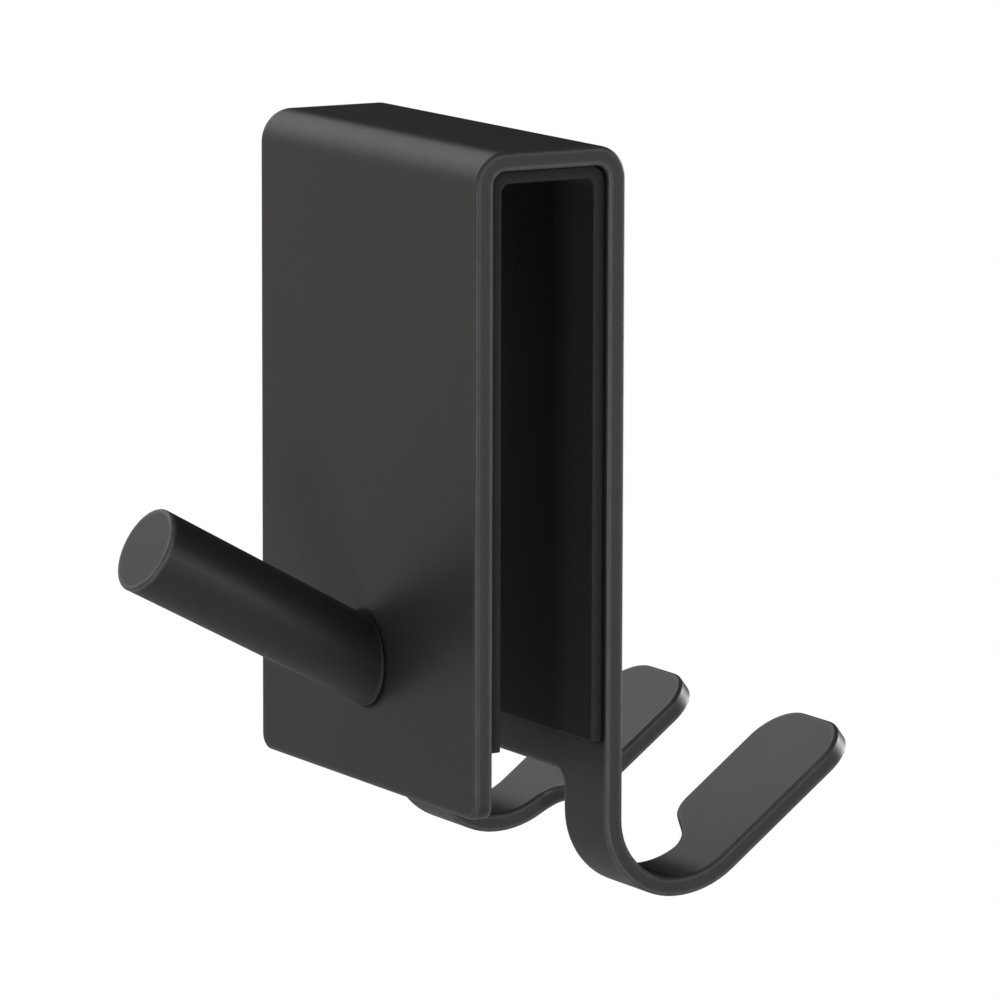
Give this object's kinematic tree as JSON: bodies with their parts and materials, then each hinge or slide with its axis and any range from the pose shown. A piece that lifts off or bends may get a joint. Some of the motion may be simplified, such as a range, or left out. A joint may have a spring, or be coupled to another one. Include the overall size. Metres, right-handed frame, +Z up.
{
  "type": "over door hook",
  "caption": "Folded sheet bracket that hangs over a frameless glass door on a rubber liner, with a slanted round peg in front and wide upturned paddle hooks behind.",
  "frame": {"origin": "middle of the liner's top inner face, the seat that rests on the glass door's top edge", "axes": "+X across the hook along the door, -Y outward on the peg's side, +Y outward on the side of the two paddle hooks, +Z up"},
  "size_m": [0.045, 0.0736, 0.0775],
  "materials": {
    "bracket_paint": "satin black powder coat",
    "liner_rubber": "matt black",
    "peg_paint": "satin black powder coat"
  },
  "bodies": {
    "root": {"bracket": "bracket_paint", "liner": "liner_rubber", "peg": "peg_paint"}
  },
  "joints": []
}
